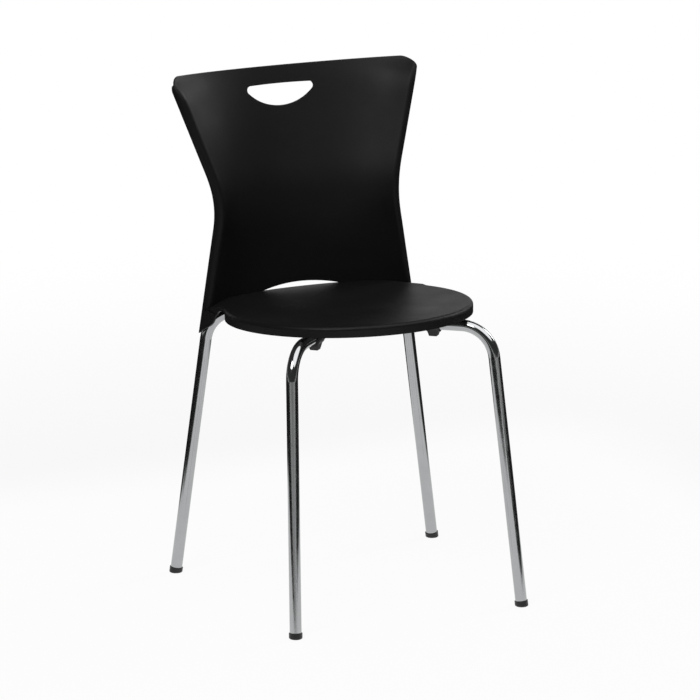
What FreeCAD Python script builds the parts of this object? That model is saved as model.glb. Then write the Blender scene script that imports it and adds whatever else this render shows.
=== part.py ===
import FreeCAD
import Part
import Sketcher
import math
import os

# Stacking chair: one moulded shell, a crossed frame of bent tube, glides and stacking buffers.
# Millimetres, +Z up, front of the seat towards -Y, floor at Z = 0.

SIZES = [
    # Tube frame, measured from the middle between the four feet
    ("tube_diameter", 19.0, "outer diameter of every frame tube"),
    ("tube_wall", 1.5, "wall of the frame tube"),
    ("bend_radius", 55.0, "centre line radius of the knee bends"),
    ("front_foot_x", 199.3, "half the distance between the front feet"),
    ("front_foot_y", 200.9, "front feet ahead of the frame's middle"),
    ("front_knee_x", 174.4, "half the distance between the front knees"),
    ("front_knee_y", 133.2, "front knees ahead of the frame's middle"),
    ("front_knee_z", 449.7, "height of the front knees"),
    ("rear_foot_x", 233.9, "half the distance between the rear feet"),
    ("rear_foot_y", 200.9, "rear feet behind the frame's middle"),
    ("rear_knee_y", 190.8, "rear knees behind the frame's middle"),
    ("rear_knee_z", 440.5, "height of the rear knees"),
    ("weld_leg", 2.2, "leg of the weld round a tube end"),
    ("joint_gap", 0.1, "clearance between pieces that are welded or slipped together"),
    # Glides under the legs
    ("glide_diameter", 21.6, "outer diameter of a glide"),
    ("glide_height", 9.0, "height of a glide under the tube end"),
    ("glide_round", 2.0, "rounded lower edge of a glide"),
    ("glide_plug", 18.0, "length of the plug inside the tube"),
    # Stacking buffers on the diagonals
    ("buffer_reach", 142.6, "distance of a buffer from the crossing, along the tube"),
    ("buffer_length", 22.0, "length of a buffer along the tube"),
    ("buffer_wall", 3.0, "wall of the buffer's clip"),
    ("buffer_lip", 3.0, "height of the clip's lips above the tube's axis"),
    ("buffer_drop", 19.4, "foot of a buffer below the tube's axis"),
    ("buffer_tip", 12.5, "width of a buffer's foot at its tip"),
    # Plate under the crossing and tabs for the shell screws
    ("plate_length", 84.0, "side of the square plate under the crossing"),
    ("plate_thickness", 3.0, "thickness of the pressed plates"),
    ("plate_hole", 12.0, "diameter of the drain hole in the crossing plate"),
    ("plate_corner", 10.0, "corner radius of the crossing plate"),
    ("front_tab_reach", 85.0, "distance of a front tab from the crossing"),
    ("rear_tab_reach", 100.0, "distance of a rear tab from the crossing"),
    ("tab_width", 26.0, "width of a tab along the tube"),
    ("tab_hole_offset", 21.0, "screw hole from the tube's axis"),
    ("tab_drop", 2.5, "top of a tab below the tube's axis"),
    # Screws, washers and threaded inserts
    ("screw_diameter", 6.0, "shank of a shell screw"),
    ("screw_length", 14.0, "shank length of a shell screw"),
    ("screw_head_diameter", 11.0, "head of a shell screw"),
    ("screw_head_height", 3.8, "height of the screw's head"),
    ("screw_socket", 4.6, "hexagon socket across its corners"),
    ("screw_socket_depth", 2.2, "depth of the hexagon socket"),
    ("screw_clearance", 0.3, "radial clearance of the screw in tab and washer"),
    ("thread_clearance", 0.1, "radial clearance of the screw in its insert"),
    ("washer_diameter", 14.0, "outer diameter of a washer"),
    ("washer_thickness", 1.2, "thickness of a washer"),
    ("insert_diameter", 8.8, "outer diameter of a threaded insert"),
    ("insert_length", 9.0, "length of a threaded insert"),
    # Moulded shell, seat
    ("seat_radius", 200.0, "radius of the round seat"),
    ("seat_centre_y", 29.5, "centre of the round seat behind the frame's middle"),
    ("seat_centre_z", 463.0, "height of the seat's surface at the centre of the disc"),
    ("seat_dish", 6.0, "depth of the dished seat below its rim"),
    ("seat_rake", 0.076, "rise of the seat towards the front, per length"),
    ("seat_side_inset", 18.0, "straight sides of the seat inside the disc's radius"),
    ("seat_side_round", 25.0, "hollow round between the disc and the straight side"),
    ("skirt_depth", 18.0, "depth of the turned-down rim"),
    ("rim_round", 6.0, "rounding of the rim's upper edge"),
    ("shoulder_radius", 70.0, "radius of the shoulders that fall away beside the back"),
    ("shoulder_front_width", 11.0, "width of a shoulder at its front end"),
    ("shoulder_rear_width", 61.0, "width of a shoulder at its rear end"),
    ("shell_wall", 4.0, "wall of the shell"),
    ("skirt_wall", 3.2, "wall of the turned-down rim and the flaps"),
    ("boss_diameter", 17.0, "outer diameter of a screw boss"),
    ("boss_pocket", 11.0, "depth of the pocket in a screw boss"),
    ("rib_thickness", 2.5, "thickness of the ribs under the seat"),
    ("rib_height", 7.0, "height of the ribs under the seat"),
    # Moulded shell, back
    ("waist_half_width", 160.2, "half width where the two side lines would meet"),
    ("waist_z", 617.5, "height of the waist"),
    ("waist_blend", 42.0, "half length of the rounded waist"),
    ("side_flare_below", 0.158, "widening of the sides below the waist, per height"),
    ("side_flare_above", 0.322, "widening of the sides above the waist, per height"),
    ("edge_y", 190.8, "rear edge of the sides below the waist"),
    ("edge_lean", 0.255, "backward lean of the sides above the waist, per height"),
    ("spine_y", 231.2, "middle of the back where its two slopes would meet"),
    ("spine_z", 600.0, "height where the slopes of the middle would meet"),
    ("spine_blend", 50.0, "half length of the rounded change of slope"),
    ("spine_lean_below", 0.07, "backward lean of the middle low down, per height"),
    ("spine_lean_above", 0.407, "backward lean of the middle high up, per height"),
    ("roll_radius", 9.0, "radius of the rolled side edge"),
    ("flange_depth", 6.0, "straight flange behind the rolled side edge"),
    ("flange_splay", 0.2, "outward splay of the flange, per depth"),
    ("roll_fade_z", 778.0, "height above which the rolled edge fades out"),
    ("roll_fade_end_z", 832.0, "height where nothing would be left of the rolled edge"),
    ("section_spacing", 24.0, "height between the sections of the back"),
    ("back_bottom_z", 441.0, "lower end of the back inside the rear rim"),
    ("top_middle_z", 806.3, "height of the top edge in the middle"),
    ("top_corner_z", 819.8, "height where the top edge would meet the side"),
    ("top_corner_round", 18.0, "radius of the top corners"),
    # Openings of the back
    ("grip_top_z", 779.0, "upper edge of the hand grip"),
    ("grip_height", 34.7, "height of the hand grip in the middle"),
    ("grip_arc_radius", 82.0, "radius of the grip's lower edge"),
    ("grip_corner_round", 6.5, "radius of the grip's corners"),
    ("slot_half_width", 74.0, "half width of the slot above the seat"),
    ("slot_foot_z", 454.0, "height of the slot's ends"),
    ("slot_rise", 9.0, "rise of the slot's arched upper edge"),
    # Flaps over the rear knees
    ("flap_tip_z", 403.0, "lowest tip of a flap"),
    ("flap_step_y", 147.0, "step of the flap's lower edge behind the frame's middle"),
    ("flap_step_z", 432.0, "height of that step"),
    ("notch_y", 118.0, "notch between flap and rim, behind the frame's middle"),
    ("notch_z", 454.5, "height of the notch between flap and rim"),
    ("notch_foot_y", 88.0, "front end of the notch"),
    # Place of the part in its own frame
    ("shift_y", -53.83, "moves the middle of the whole chair to the origin"),
]

MARGIN = 40.0
UP = FreeCAD.Vector(0, 0, 1)

doc = FreeCAD.newDocument("stacking_chair")
sheet = doc.addObject("Spreadsheet::Sheet", "sizes")
for row, (alias, number, words) in enumerate(SIZES, start=1):
    sheet.set("A%d" % row, str(number))
    sheet.setAlias("A%d" % row, alias)
    sheet.set("B%d" % row, words)
doc.recompute()

nodes = []


def size(alias):
    """A driving dimension, read from the spreadsheet."""
    return getattr(sheet, alias)


def point(x, y, z):
    return FreeCAD.Vector(x, y, z)


def keep(item, name):
    """Name a finished sub-part and move it into the part's own frame."""
    item.Label = name
    base = item.Placement.Base
    item.Placement = FreeCAD.Placement(base + point(0, size("shift_y"), 0), item.Placement.Rotation)
    nodes.append(item)
    return item


def bind(item, **expressions):
    for prop, expression in expressions.items():
        item.setExpression(prop, expression)
    return item


def cylinder(name, radius, height, place):
    item = doc.addObject("Part::Cylinder", name)
    bind(item, Radius=radius, Height=height)
    item.Placement = place
    return item


def box(name, length, width, height, place):
    item = doc.addObject("Part::Box", name)
    bind(item, Length=length, Width=width, Height=height)
    item.Placement = place
    return item


def cut(name, base, tool):
    item = doc.addObject("Part::Cut", name)
    item.Base = base
    item.Tool = tool
    return item


def fuse(name, parts):
    item = doc.addObject("Part::MultiFuse", name)
    item.Shapes = parts
    return item


def feature(name, shape):
    item = doc.addObject("Part::Feature", name)
    item.Shape = shape
    return item


def wire(edges):
    return Part.Wire(Part.__sortEdges__(edges))


def arc(start, middle, end):
    return Part.Arc(start, middle, end).toShape()


def line(start, end):
    return Part.makeLine(start, end)


def polyline(points):
    return [line(a, b) for a, b in zip(points[:-1], points[1:])]


def prism(edges, push):
    return Part.Face(wire(edges)).extrude(push)


# Frame: the knees, the crossing and a local frame on each diagonal

TUBE_R = size("tube_diameter") / 2
KNEE_X = size("front_knee_x")
FRONT_FOOT = point(size("front_foot_x"), -size("front_foot_y"), 0)
FRONT_KNEE = point(KNEE_X, -size("front_knee_y"), size("front_knee_z"))
REAR_FOOT = point(size("rear_foot_x"), size("rear_foot_y"), 0)
REAR_KNEE = point(KNEE_X, size("rear_knee_y"), size("rear_knee_z"))


def mirrored(p, side):
    return point(side * p.x, p.y, p.z)


CROSSING = (mirrored(FRONT_KNEE, -1) + REAR_KNEE) * 0.5
FRAME_NORMAL = (REAR_KNEE - mirrored(FRONT_KNEE, -1)).cross(mirrored(REAR_KNEE, -1) - FRONT_KNEE)
if FRAME_NORMAL.z < 0:
    FRAME_NORMAL = FRAME_NORMAL * -1
FRAME_NORMAL.normalize()

LEGS = {
    "front_left": (mirrored(FRONT_FOOT, -1), mirrored(FRONT_KNEE, -1)),
    "front_right": (FRONT_FOOT, FRONT_KNEE),
    "rear_left": (mirrored(REAR_FOOT, -1), mirrored(REAR_KNEE, -1)),
    "rear_right": (REAR_FOOT, REAR_KNEE),
}


def axes_placement(base, x_axis, z_axis):
    """Placement with its X axis along x_axis and its Z axis close to z_axis."""
    y_axis = z_axis.cross(x_axis)
    y_axis.normalize()
    rotation = FreeCAD.Rotation(x_axis, y_axis, z_axis, "XZY")
    return FreeCAD.Placement(base, rotation)


def along(base, direction):
    """Placement whose Z axis points along direction."""
    return FreeCAD.Placement(base, FreeCAD.Rotation(UP, direction))


def leg_axis(corner):
    """Foot point on the floor and unit vector up the leg."""
    foot, knee = LEGS[corner]
    direction = knee - foot
    direction.normalize()
    return foot, direction


def diagonal(corner):
    """Unit vector from the crossing towards a corner's knee."""
    direction = LEGS[corner][1] - CROSSING
    direction.normalize()
    return direction


def on_diagonal(corner, reach, drop=0.0, aside=0.0, turn=1):
    """Placement on a diagonal: X outwards along the tube, Z square to the frame."""
    outward = diagonal(corner)
    place = axes_placement(CROSSING, outward, FRAME_NORMAL)
    local = point(reach, turn * aside, -drop)
    place.Base = CROSSING + place.Rotation.multVec(local)
    return place


def bent_path(points, radius):
    """Straight runs joined by tangent arcs of one radius."""
    edges = []
    start = points[0]
    for before, corner, after in zip(points[:-2], points[1:-1], points[2:]):
        back = before - corner
        ahead = after - corner
        back.normalize()
        ahead.normalize()
        half_angle = back.getAngle(ahead) / 2
        tangent = radius / math.tan(half_angle)
        bisector = back + ahead
        bisector.normalize()
        centre = corner + bisector * (radius / math.sin(half_angle))
        enter = corner + back * tangent
        leave = corner + ahead * tangent
        edges.append(line(start, enter))
        edges.append(arc(enter, centre - bisector * radius, leave))
        start = leave
    edges.append(line(start, points[-1]))
    return Part.Wire(edges)


def pipe(path, radius):
    first = path.Edges[0]
    begin = first.valueAt(first.FirstParameter)
    direction = first.tangentAt(first.FirstParameter)
    profile = Part.Wire(Part.makeCircle(radius, begin, direction))
    return path.makePipeShell([profile], True, False)


def tube(points):
    """Bent tube with its bore."""
    path = bent_path(points, size("bend_radius"))
    outer = pipe(path, TUBE_R)
    bore = pipe(path, TUBE_R - size("tube_wall"))
    made = outer.cut(bore)
    section = math.pi * (TUBE_R ** 2 - (TUBE_R - size("tube_wall")) ** 2)
    print("tube volume %.0f, section times length %.0f" % (made.Volume, section * path.Length))
    return made


def tube_end(corner):
    """Lower end of a leg tube, on top of its glide."""
    foot, direction = leg_axis(corner)
    return foot + direction * size("glide_height")


def make_frame_tubes():
    through = tube([tube_end("front_right"), LEGS["front_right"][1],
                    LEGS["rear_left"][1], tube_end("rear_left")])
    keep(feature("diagonal_tube", through), "diagonal_leg_tube")
    saddle_axis = diagonal("front_right")
    saddle = Part.makeCylinder(TUBE_R + size("joint_gap"), 4 * TUBE_R,
                               CROSSING - saddle_axis * 2 * TUBE_R, saddle_axis)
    for corner in ("front_left", "rear_right"):
        arm = tube([tube_end(corner), LEGS[corner][1], CROSSING])
        keep(feature(corner + "_tube", arm.cut(saddle)), corner + "_leg_tube")


def make_crossing_welds():
    """A weld ring where each half diagonal meets the through tube."""
    through_axis = diagonal("front_right")
    fat = TUBE_R + size("weld_leg")
    length = 4 * TUBE_R
    below = axes_placement(CROSSING, point(1, 0, 0), FRAME_NORMAL)
    plate_room = Part.makeBox(2 * length, 2 * length, length, point(-length, -length, -length - TUBE_R))
    plate_room.Placement = below
    for corner in ("front_left", "rear_right"):
        arm_axis = diagonal(corner)
        collar = Part.makeCylinder(fat, length, CROSSING, arm_axis)
        around = Part.makeCylinder(fat, 2 * length, CROSSING - through_axis * length, through_axis)
        through = Part.makeCylinder(TUBE_R + size("joint_gap"), 2 * length,
                                    CROSSING - through_axis * length, through_axis)
        arm = Part.makeCylinder(TUBE_R + size("joint_gap"), length, CROSSING, arm_axis)
        ring = collar.common(around).cut([through, arm, plate_room])
        keep(feature(corner + "_ring", ring), corner + "_crossing_weld")


def make_crossing_plate():
    side = size("plate_length")
    top = TUBE_R + size("plate_thickness")
    place = axes_placement(CROSSING, point(1, 0, 0), FRAME_NORMAL)
    body = doc.addObject("PartDesign::Body", "crossing_plate_body")
    outline = body.newObject("Sketcher::SketchObject", "crossing_plate_outline")
    attach(outline, body)
    rectangle(outline, "sizes.plate_length", "sizes.plate_length", side)
    pad = body.newObject("PartDesign::Pad", "crossing_plate_pad")
    pad.Profile = outline
    bind(pad, Length="sizes.plate_thickness")
    drain = body.newObject("Sketcher::SketchObject", "crossing_plate_drain")
    attach(drain, body)
    circle(drain, "sizes.plate_hole / 2", size("plate_hole") / 2)
    doc.recompute()
    before = pad.Shape.Volume
    pocket = body.newObject("PartDesign::Pocket", "crossing_plate_pocket")
    pocket.Profile = drain
    pocket.Type = "ThroughAll"
    pocket.Reversed = True
    doc.recompute()
    if pocket.Shape.Volume >= before:
        raise RuntimeError("the drain hole cuts nothing")
    corners = [edge_name(index) for index, edge in enumerate(pocket.Shape.Edges, start=1)
               if is_upright(edge)]
    rounding = body.newObject("PartDesign::Fillet", "crossing_plate_corners")
    rounding.Base = (pocket, corners)
    bind(rounding, Radius="sizes.plate_corner")
    body.Tip = rounding
    place.Base = CROSSING - FRAME_NORMAL * (top + size("joint_gap"))
    body.Placement = place
    keep(body, "crossing_plate")


def edge_name(index):
    return "Edge%d" % index


def is_upright(edge):
    """A straight edge along Z, such as a plate's corner."""
    if not isinstance(edge.Curve, Part.Line):
        return False
    return abs(edge.tangentAt(edge.FirstParameter).z) > 0.99


def attach(sketch, body):
    plane = [item for item in body.Origin.OriginFeatures if item.Role == "XY_Plane"][0]
    sketch.AttachmentSupport = [(plane, "")]
    sketch.MapMode = "FlatFace"


def circle(sketch, radius_expression, radius):
    """A circle about the sketch's origin, its radius bound to the sheet."""
    index = sketch.addGeometry(Part.Circle(point(0, 0, 0), UP, radius))
    sketch.addConstraint(Sketcher.Constraint("Coincident", index, 3, -1, 1))
    number = sketch.addConstraint(Sketcher.Constraint("Radius", index, radius))
    sketch.setExpression("Constraints[%d]" % number, radius_expression)


def rectangle(sketch, length_expression, width_expression, length):
    """A rectangle centred on the sketch's origin, its sides bound to the sheet."""
    half = length / 2
    corners = [point(-half, -half, 0), point(half, -half, 0), point(half, half, 0), point(-half, half, 0)]
    for start, end in zip(corners, corners[1:] + corners[:1]):
        sketch.addGeometry(Part.LineSegment(start, end))
    for index in range(4):
        sketch.addConstraint(Sketcher.Constraint("Coincident", index, 2, (index + 1) % 4, 1))
    for index, kind in enumerate(("Horizontal", "Vertical", "Horizontal", "Vertical")):
        sketch.addConstraint(Sketcher.Constraint(kind, index))
    sketch.addConstraint(Sketcher.Constraint("Symmetric", 0, 1, 1, 2, -1, 1))
    across = sketch.addConstraint(Sketcher.Constraint("DistanceX", 0, 1, 0, 2, length))
    upward = sketch.addConstraint(Sketcher.Constraint("DistanceY", 1, 1, 1, 2, length))
    sketch.setExpression("Constraints[%d]" % across, length_expression)
    sketch.setExpression("Constraints[%d]" % upward, width_expression)


TABS = {
    "front_left": ("front_tab_reach", -1),
    "front_right": ("front_tab_reach", 1),
    "rear_left": ("rear_tab_reach", -1),
    "rear_right": ("rear_tab_reach", 1),
}


def tab_placement(corner, drop, aside=0.0):
    reach, turn = TABS[corner]
    return on_diagonal(corner, size(reach), drop, aside, turn)


def screw_base(corner, drop):
    """Point on a shell screw's axis, drop below the tube's axis."""
    return tab_placement(corner, drop, size("tab_hole_offset")).Base


def make_tabs():
    """Plates welded to the diagonals that carry the shell's bosses."""
    bottom = size("tab_drop") + size("plate_thickness")
    for corner, (reach, turn) in TABS.items():
        flat = tab_placement(corner, bottom)
        slab = box(corner + "_slab", "sizes.tab_width", "sizes.tab_hole_offset",
                   "sizes.plate_thickness", flat)
        local = point(-size("tab_width") / 2, 0 if turn > 0 else -size("tab_hole_offset"), 0)
        slab.Placement = FreeCAD.Placement(flat.Base + flat.Rotation.multVec(local), flat.Rotation)
        low = FreeCAD.Placement(screw_base(corner, bottom), flat.Rotation)
        end = cylinder(corner + "_tab_end", "sizes.tab_width / 2", "sizes.plate_thickness", low)
        plate = fuse(corner + "_tab_blank", [slab, end])
        hole = cylinder(corner + "_tab_hole", "sizes.screw_diameter / 2 + sizes.screw_clearance",
                        "sizes.plate_thickness", low)
        drilled = cut(corner + "_tab_drilled", plate, hole)
        start = CROSSING + diagonal(corner) * (size(reach) - size("tab_width"))
        cope = cylinder(corner + "_cope", "sizes.tube_diameter / 2 + sizes.joint_gap",
                        "sizes.tab_width * 2", along(start, diagonal(corner)))
        keep(cut(corner + "_tab", drilled, cope), corner + "_mounting_tab")


def make_fasteners():
    """Screw, washer and threaded insert at each tab, all on one axis."""
    tab_bottom = size("tab_drop") + size("plate_thickness")
    washer_bottom = tab_bottom + size("washer_thickness")
    head_bottom = washer_bottom + size("screw_head_height")
    for corner in TABS:
        turn = tab_placement(corner, 0).Rotation
        axis = {name: FreeCAD.Placement(screw_base(corner, drop), turn)
                for name, drop in (("washer", washer_bottom), ("head", head_bottom),
                                   ("insert", size("tab_drop")))}
        disc = cylinder(corner + "_disc", "sizes.washer_diameter / 2",
                        "sizes.washer_thickness", axis["washer"])
        eye = cylinder(corner + "_eye", "sizes.screw_diameter / 2 + sizes.screw_clearance",
                       "sizes.washer_thickness", axis["washer"])
        keep(cut(corner + "_ring_washer", disc, eye), corner + "_washer")
        head = cylinder(corner + "_head", "sizes.screw_head_diameter / 2",
                        "sizes.screw_head_height", axis["head"])
        shank = cylinder(corner + "_shank", "sizes.screw_diameter / 2",
                         "sizes.screw_head_height + sizes.screw_length", axis["head"])
        socket = doc.addObject("Part::Prism", corner + "_socket")
        socket.Polygon = 6
        bind(socket, Circumradius="sizes.screw_socket / 2", Height="sizes.screw_socket_depth")
        socket.Placement = axis["head"]
        bolt = fuse(corner + "_bolt", [head, shank])
        keep(cut(corner + "_screw_cut", bolt, socket), corner + "_shell_screw")
        sleeve = cylinder(corner + "_sleeve", "sizes.insert_diameter / 2",
                          "sizes.insert_length", axis["insert"])
        thread = cylinder(corner + "_thread", "sizes.screw_diameter / 2 + sizes.thread_clearance",
                          "sizes.insert_length", axis["insert"])
        keep(cut(corner + "_insert_cut", sleeve, thread), corner + "_threaded_insert")


def make_buffers():
    """Clips round the diagonals with a tapered foot for the chair below."""
    overlap = size("tube_diameter") / 2
    top_width = size("tube_diameter")
    for corner in TABS:
        centre = on_diagonal(corner, size("buffer_reach"))
        outward = diagonal(corner)
        start = centre.Base - outward * (size("buffer_length") / 2)
        round_place = along(start, outward)
        clip = cylinder(corner + "_clip", "sizes.tube_diameter / 2 + sizes.joint_gap + sizes.buffer_wall",
                        "sizes.buffer_length", round_place)
        foot = doc.addObject("Part::Wedge", corner + "_foot")
        foot.Ymin = 0
        bind(foot,
             Xmin="-sizes.buffer_length / 2", Xmax="sizes.buffer_length / 2",
             Zmin="-sizes.tube_diameter / 2", Zmax="sizes.tube_diameter / 2",
             X2min="-sizes.buffer_tip / 2", X2max="sizes.buffer_tip / 2",
             Z2min="-sizes.buffer_tip / 2", Z2max="sizes.buffer_tip / 2",
             Ymax="sizes.buffer_drop - sizes.tube_diameter / 4")
        down = FreeCAD.Rotation(point(1, 0, 0), -90)
        foot.Placement = FreeCAD.Placement(centre.Base - FRAME_NORMAL * (overlap / 2),
                                           centre.Rotation.multiply(down))
        blank = fuse(corner + "_buffer_blank", [clip, foot])
        bore = cylinder(corner + "_buffer_bore", "sizes.tube_diameter / 2 + sizes.joint_gap",
                        "sizes.buffer_length * 2",
                        along(centre.Base - outward * size("buffer_length"), outward))
        bored = cut(corner + "_buffer_bored", blank, bore)
        mouth = box(corner + "_mouth", "sizes.buffer_length * 2", "sizes.tube_diameter * 2",
                    "sizes.tube_diameter", FreeCAD.Placement())
        local = point(-size("buffer_length"), -top_width, size("buffer_lip"))
        mouth.Placement = FreeCAD.Placement(centre.Base + centre.Rotation.multVec(local), centre.Rotation)
        keep(cut(corner + "_buffer_cut", bored, mouth), corner + "_stacking_buffer")


def make_glides():
    """Caps on the leg ends, cut level with the floor, with a plug in the tube."""
    below = size("glide_diameter")
    for corner in LEGS:
        foot, direction = leg_axis(corner)
        cap = cylinder(corner + "_cap", "sizes.glide_diameter / 2",
                       "sizes.glide_height + sizes.glide_diameter",
                       along(foot - direction * below, direction))
        plug = cylinder(corner + "_plug",
                        "sizes.tube_diameter / 2 - sizes.tube_wall - sizes.joint_gap",
                        "sizes.glide_height + sizes.glide_plug", along(foot, direction))
        blank = fuse(corner + "_glide_blank", [cap, plug])
        floor = box(corner + "_floor", "sizes.glide_diameter * 4", "sizes.glide_diameter * 4",
                    "sizes.glide_diameter * 2",
                    FreeCAD.Placement(foot - point(2 * below, 2 * below, 2 * below), FreeCAD.Rotation()))
        level = cut(corner + "_glide_level", blank, floor)
        doc.recompute()
        rim = [index for index, edge in enumerate(level.Shape.Edges, start=1)
               if edge.BoundBox.ZMax < 0.01]
        rounded = doc.addObject("Part::Fillet", corner + "_glide_round")
        rounded.Base = level
        rounded.Edges = [(index, size("glide_round"), size("glide_round")) for index in rim]
        keep(rounded, corner + "_glide")


# Shell: outlines worked out from the driving sizes


def two_slopes(offset, half, below, above):
    """Rise of two straight slopes joined by a parabola of the given half length."""
    if offset <= -half:
        return below * offset
    if offset >= half:
        return above * offset
    return below * offset + (above - below) * (offset + half) ** 2 / (4 * half)


def half_width(z):
    rise = two_slopes(z - size("waist_z"), size("waist_blend"),
                      -size("side_flare_below"), size("side_flare_above"))
    return size("waist_half_width") + rise


def edge_line(z):
    return size("edge_y") + two_slopes(z - size("waist_z"), size("waist_blend"), 0, size("edge_lean"))


def spine_line(z):
    rise = two_slopes(z - size("spine_z"), size("spine_blend"),
                      size("spine_lean_below"), size("spine_lean_above"))
    return size("spine_y") + rise


def roll_share(z):
    """How much of the rolled edge is left at a height: all of it below the corners."""
    if z <= size("roll_fade_z"):
        return 1.0
    return (size("roll_fade_end_z") - z) / (size("roll_fade_end_z") - size("roll_fade_z"))


def back_section(z):
    """Closed outline of the back at one height: hollow front, rolled sides and flanges."""
    wall = size("shell_wall")
    roll = wall + (size("roll_radius") - wall) * roll_share(z) + size("joint_gap")
    splay = math.atan(size("flange_splay"))
    across = point(math.cos(splay), -math.sin(splay), 0)
    tip = point(half_width(z), edge_line(z), z)
    flange = size("flange_depth") * roll_share(z) + size("joint_gap")
    knuckle = tip - point(math.sin(splay), math.cos(splay), 0) * flange
    hub = knuckle - across * roll
    gap = spine_line(z) - hub.y
    radius = (hub.x ** 2 + gap ** 2 - roll ** 2) / (2 * (roll + gap))
    middle = point(0, spine_line(z) - radius, z)
    towards = hub - middle
    towards.normalize()
    bisector = across - towards
    bisector.normalize()
    edges = []
    for side in (1, -1):
        skins = []
        for hub_radius, main_radius in ((roll, radius), (roll - wall, radius + wall)):
            joint = middle + towards * main_radius
            shoulder = hub + across * hub_radius
            bulge = hub + bisector * hub_radius
            end = tip - across * (roll - hub_radius)
            skins.append([mirrored(p, side) for p in (joint, bulge, shoulder, end)])
        for joint, bulge, shoulder, end in skins:
            edges.append(arc(joint, bulge, shoulder))
            edges.append(line(shoulder, end))
        edges.append(line(skins[0][3], skins[1][3]))
    for main_radius in (radius, radius + wall):
        joint = middle + towards * main_radius
        crown = point(0, middle.y + main_radius, z)
        edges.append(arc(mirrored(joint, -1), crown, joint))
    return wire(edges)


def top_trim():
    """Everything above the top edge and its rounded corners."""
    corner_z = size("top_corner_z")
    outset = 0.2
    corner = point(half_width(corner_z) + outset, 0, corner_z)
    low_z = corner_z - 2 * size("top_corner_round")
    side = point(half_width(low_z) + outset, 0, low_z) - corner
    dip = corner_z - size("top_middle_z")
    top_radius = (corner.x ** 2 + dip ** 2) / (2 * dip)
    slope = math.asin(corner.x / top_radius)
    top = point(-math.cos(slope), 0, -math.sin(slope))
    side.normalize()
    half_angle = side.getAngle(top) / 2
    bisector = side + top
    bisector.normalize()
    hub = corner + bisector * (size("top_corner_round") / math.sin(half_angle))
    reach = size("top_corner_round") / math.tan(half_angle)
    low = corner + side * reach
    high = corner + top * reach
    bulge = hub - bisector * size("top_corner_round")
    far_x = corner.x + MARGIN
    far_z = corner_z + MARGIN
    edges = [arc(mirrored(high, -1), point(0, 0, size("top_middle_z")), high)]
    for sign in (1, -1):
        edges.append(arc(mirrored(low, sign), mirrored(bulge, sign), mirrored(high, sign)))
        edges.append(line(mirrored(low, sign), point(sign * far_x, 0, low.z)))
        edges.append(line(point(sign * far_x, 0, low.z), point(sign * far_x, 0, far_z)))
    edges.append(line(point(-far_x, 0, far_z), point(far_x, 0, far_z)))
    return prism(edges, point(0, spine_line(far_z) + MARGIN, 0))


def grip_trim():
    """Half-moon hand grip: straight top, rounded corners, arched lower edge."""
    top = size("grip_top_z")
    radius = size("grip_arc_radius")
    corner = size("grip_corner_round")
    centre = point(0, 0, top - size("grip_height") + radius)
    hub_z = top - corner
    hub = point(math.sqrt((radius - corner) ** 2 - (centre.z - hub_z) ** 2), 0, hub_z)
    outward = hub - centre
    outward.normalize()
    low = hub + outward * corner
    high = hub + UP * corner
    bisector = outward + UP
    bisector.normalize()
    bulge = hub + bisector * corner
    edges = [line(mirrored(high, -1), high)]
    for sign in (1, -1):
        edges.append(arc(mirrored(high, sign), mirrored(bulge, sign), mirrored(low, sign)))
    edges.append(arc(mirrored(low, -1), centre - UP * radius, low))
    return prism(edges, point(0, spine_line(top) + MARGIN, 0))


def slot_trim():
    """Crescent slot just above the seat's rear."""
    half = size("slot_half_width")
    foot = size("slot_foot_z")
    base = size("back_bottom_z") + size("shell_wall")
    edges = polyline([point(half, 0, foot), point(half, 0, base),
                      point(-half, 0, base), point(-half, 0, foot)])
    edges.append(arc(point(-half, 0, foot), point(0, 0, foot + size("slot_rise")), point(half, 0, foot)))
    return prism(edges, point(0, spine_line(foot) + MARGIN, 0))


def make_back():
    low = size("back_bottom_z")
    high = size("top_corner_z") + size("shell_wall")
    steps = round((high - low) / size("section_spacing"))
    heights = [low + (high - low) * step / steps for step in range(steps + 1)]
    panel = Part.makeLoft([back_section(z) for z in heights], True, False)
    for trim in (top_trim(), grip_trim(), slot_trim()):
        panel = panel.cut(trim)
    return panel


def seat_sphere():
    """Centre and radius of the ball that the dished seat is cut with."""
    radius = size("seat_radius") ** 2 / (2 * size("seat_dish"))
    lowest_y = size("seat_centre_y") + size("seat_rake") * radius
    drop = (lowest_y - size("seat_centre_y")) ** 2 / (2 * radius)
    return point(0, lowest_y, size("seat_centre_z") - drop + radius), radius


def seat_height(x, y):
    """Height of the seat's upper surface."""
    centre, radius = seat_sphere()
    return centre.z - math.sqrt(radius ** 2 - x ** 2 - (y - centre.y) ** 2)


def seat_ball(drop):
    centre, radius = seat_sphere()
    reach = 1.5 * size("seat_radius")
    angle = math.degrees(math.asin((reach + centre.y) / radius))
    ball = Part.makeSphere(radius, centre - UP * drop, UP, -90, angle - 90, 360)
    return ball


def under_seat(drop):
    """A block whose top is the seat's surface lowered by drop."""
    reach = 1.5 * size("seat_radius")
    floor_z = size("back_bottom_z") - size("seat_radius") / 2
    block = Part.makeBox(2 * reach, 2 * reach, size("seat_radius"),
                         point(-reach, size("seat_centre_y") - reach, floor_z))
    return block.cut(seat_ball(drop))


def seat_side():
    """Where the hollow round beside the back starts, its centre, and the rear end of the side."""
    radius = size("seat_radius")
    hollow = size("seat_side_round")
    hub_x = radius - size("seat_side_inset") + hollow
    hub = point(hub_x, size("seat_centre_y") + math.sqrt((radius + hollow) ** 2 - hub_x ** 2), 0)
    front = hub - point(hollow, 0, 0)
    rear = point(half_width(size("slot_foot_z")), edge_line(size("slot_foot_z")), 0)
    return front, hub, rear


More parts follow.
